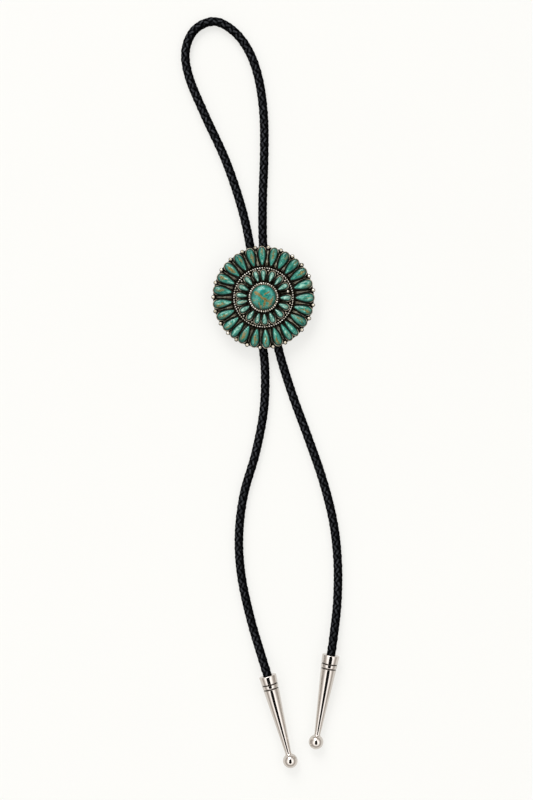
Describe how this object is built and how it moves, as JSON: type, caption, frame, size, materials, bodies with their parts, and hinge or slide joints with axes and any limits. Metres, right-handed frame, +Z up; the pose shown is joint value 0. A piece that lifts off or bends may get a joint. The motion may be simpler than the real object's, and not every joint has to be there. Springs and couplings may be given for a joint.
{
  "type": "bolo tie",
  "caption": "Bolo tie laid flat: a braided cord with metal tips runs through a clip under a round silver setting that holds a cluster of turquoise stones.",
  "frame": {"origin": "on the surface the tie lies on, under the middle of the round setting", "axes": "+Z up from the surface through the front of the setting, +Y from the setting towards the neck loop, +X to the right of a viewer who looks down on the front with the neck loop at the top"},
  "size_m": [0.0965, 0.45, 0.0127],
  "materials": {
    "silver": "oxidised silver, dark in the recesses and polished on the raised wires and beads",
    "turquoise": "polished green-blue turquoise with brown matrix",
    "plated_metal": "polished nickel plate",
    "cord_leather": "black braided leather, slightly glossy"
  },
  "bodies": {
    "root": {"setting": "silver", "centre_stone": "turquoise", "outer_stone_01": "turquoise", "outer_stone_02": "turquoise", "outer_stone_03": "turquoise", "outer_stone_04": "turquoise", "outer_stone_05": "turquoise", "outer_stone_06": "turquoise", "outer_stone_07": "turquoise", "outer_stone_08": "turquoise", "outer_stone_09": "turquoise", "outer_stone_10": "turquoise", "outer_stone_11": "turquoise", "outer_stone_12": "turquoise", "outer_stone_13": "turquoise", "outer_stone_14": "turquoise", "outer_stone_15": "turquoise", "outer_stone_16": "turquoise", "outer_stone_17": "turquoise", "outer_stone_18": "turquoise", "outer_stone_19": "turquoise", "outer_stone_20": "turquoise", "outer_stone_21": "turquoise", "outer_stone_22": "turquoise", "outer_stone_23": "turquoise", "outer_stone_24": "turquoise", "inner_stone_01": "turquoise", "inner_stone_02": "turquoise", "inner_stone_03": "turquoise", "inner_stone_04": "turquoise", "inner_stone_05": "turquoise", "inner_stone_06": "turquoise", "inner_stone_07": "turquoise", "inner_stone_08": "turquoise", "inner_stone_09": "turquoise", "inner_stone_10": "turquoise", "inner_stone_11": "turquoise", "inner_stone_12": "turquoise", "inner_stone_13": "turquoise", "inner_stone_14": "turquoise", "inner_stone_15": "turquoise", "inner_stone_16": "turquoise", "inner_stone_17": "turquoise", "clip": "plated_metal", "cord": "cord_leather", "tip_left": "plated_metal", "tip_right": "plated_metal"}
  },
  "joints": []
}
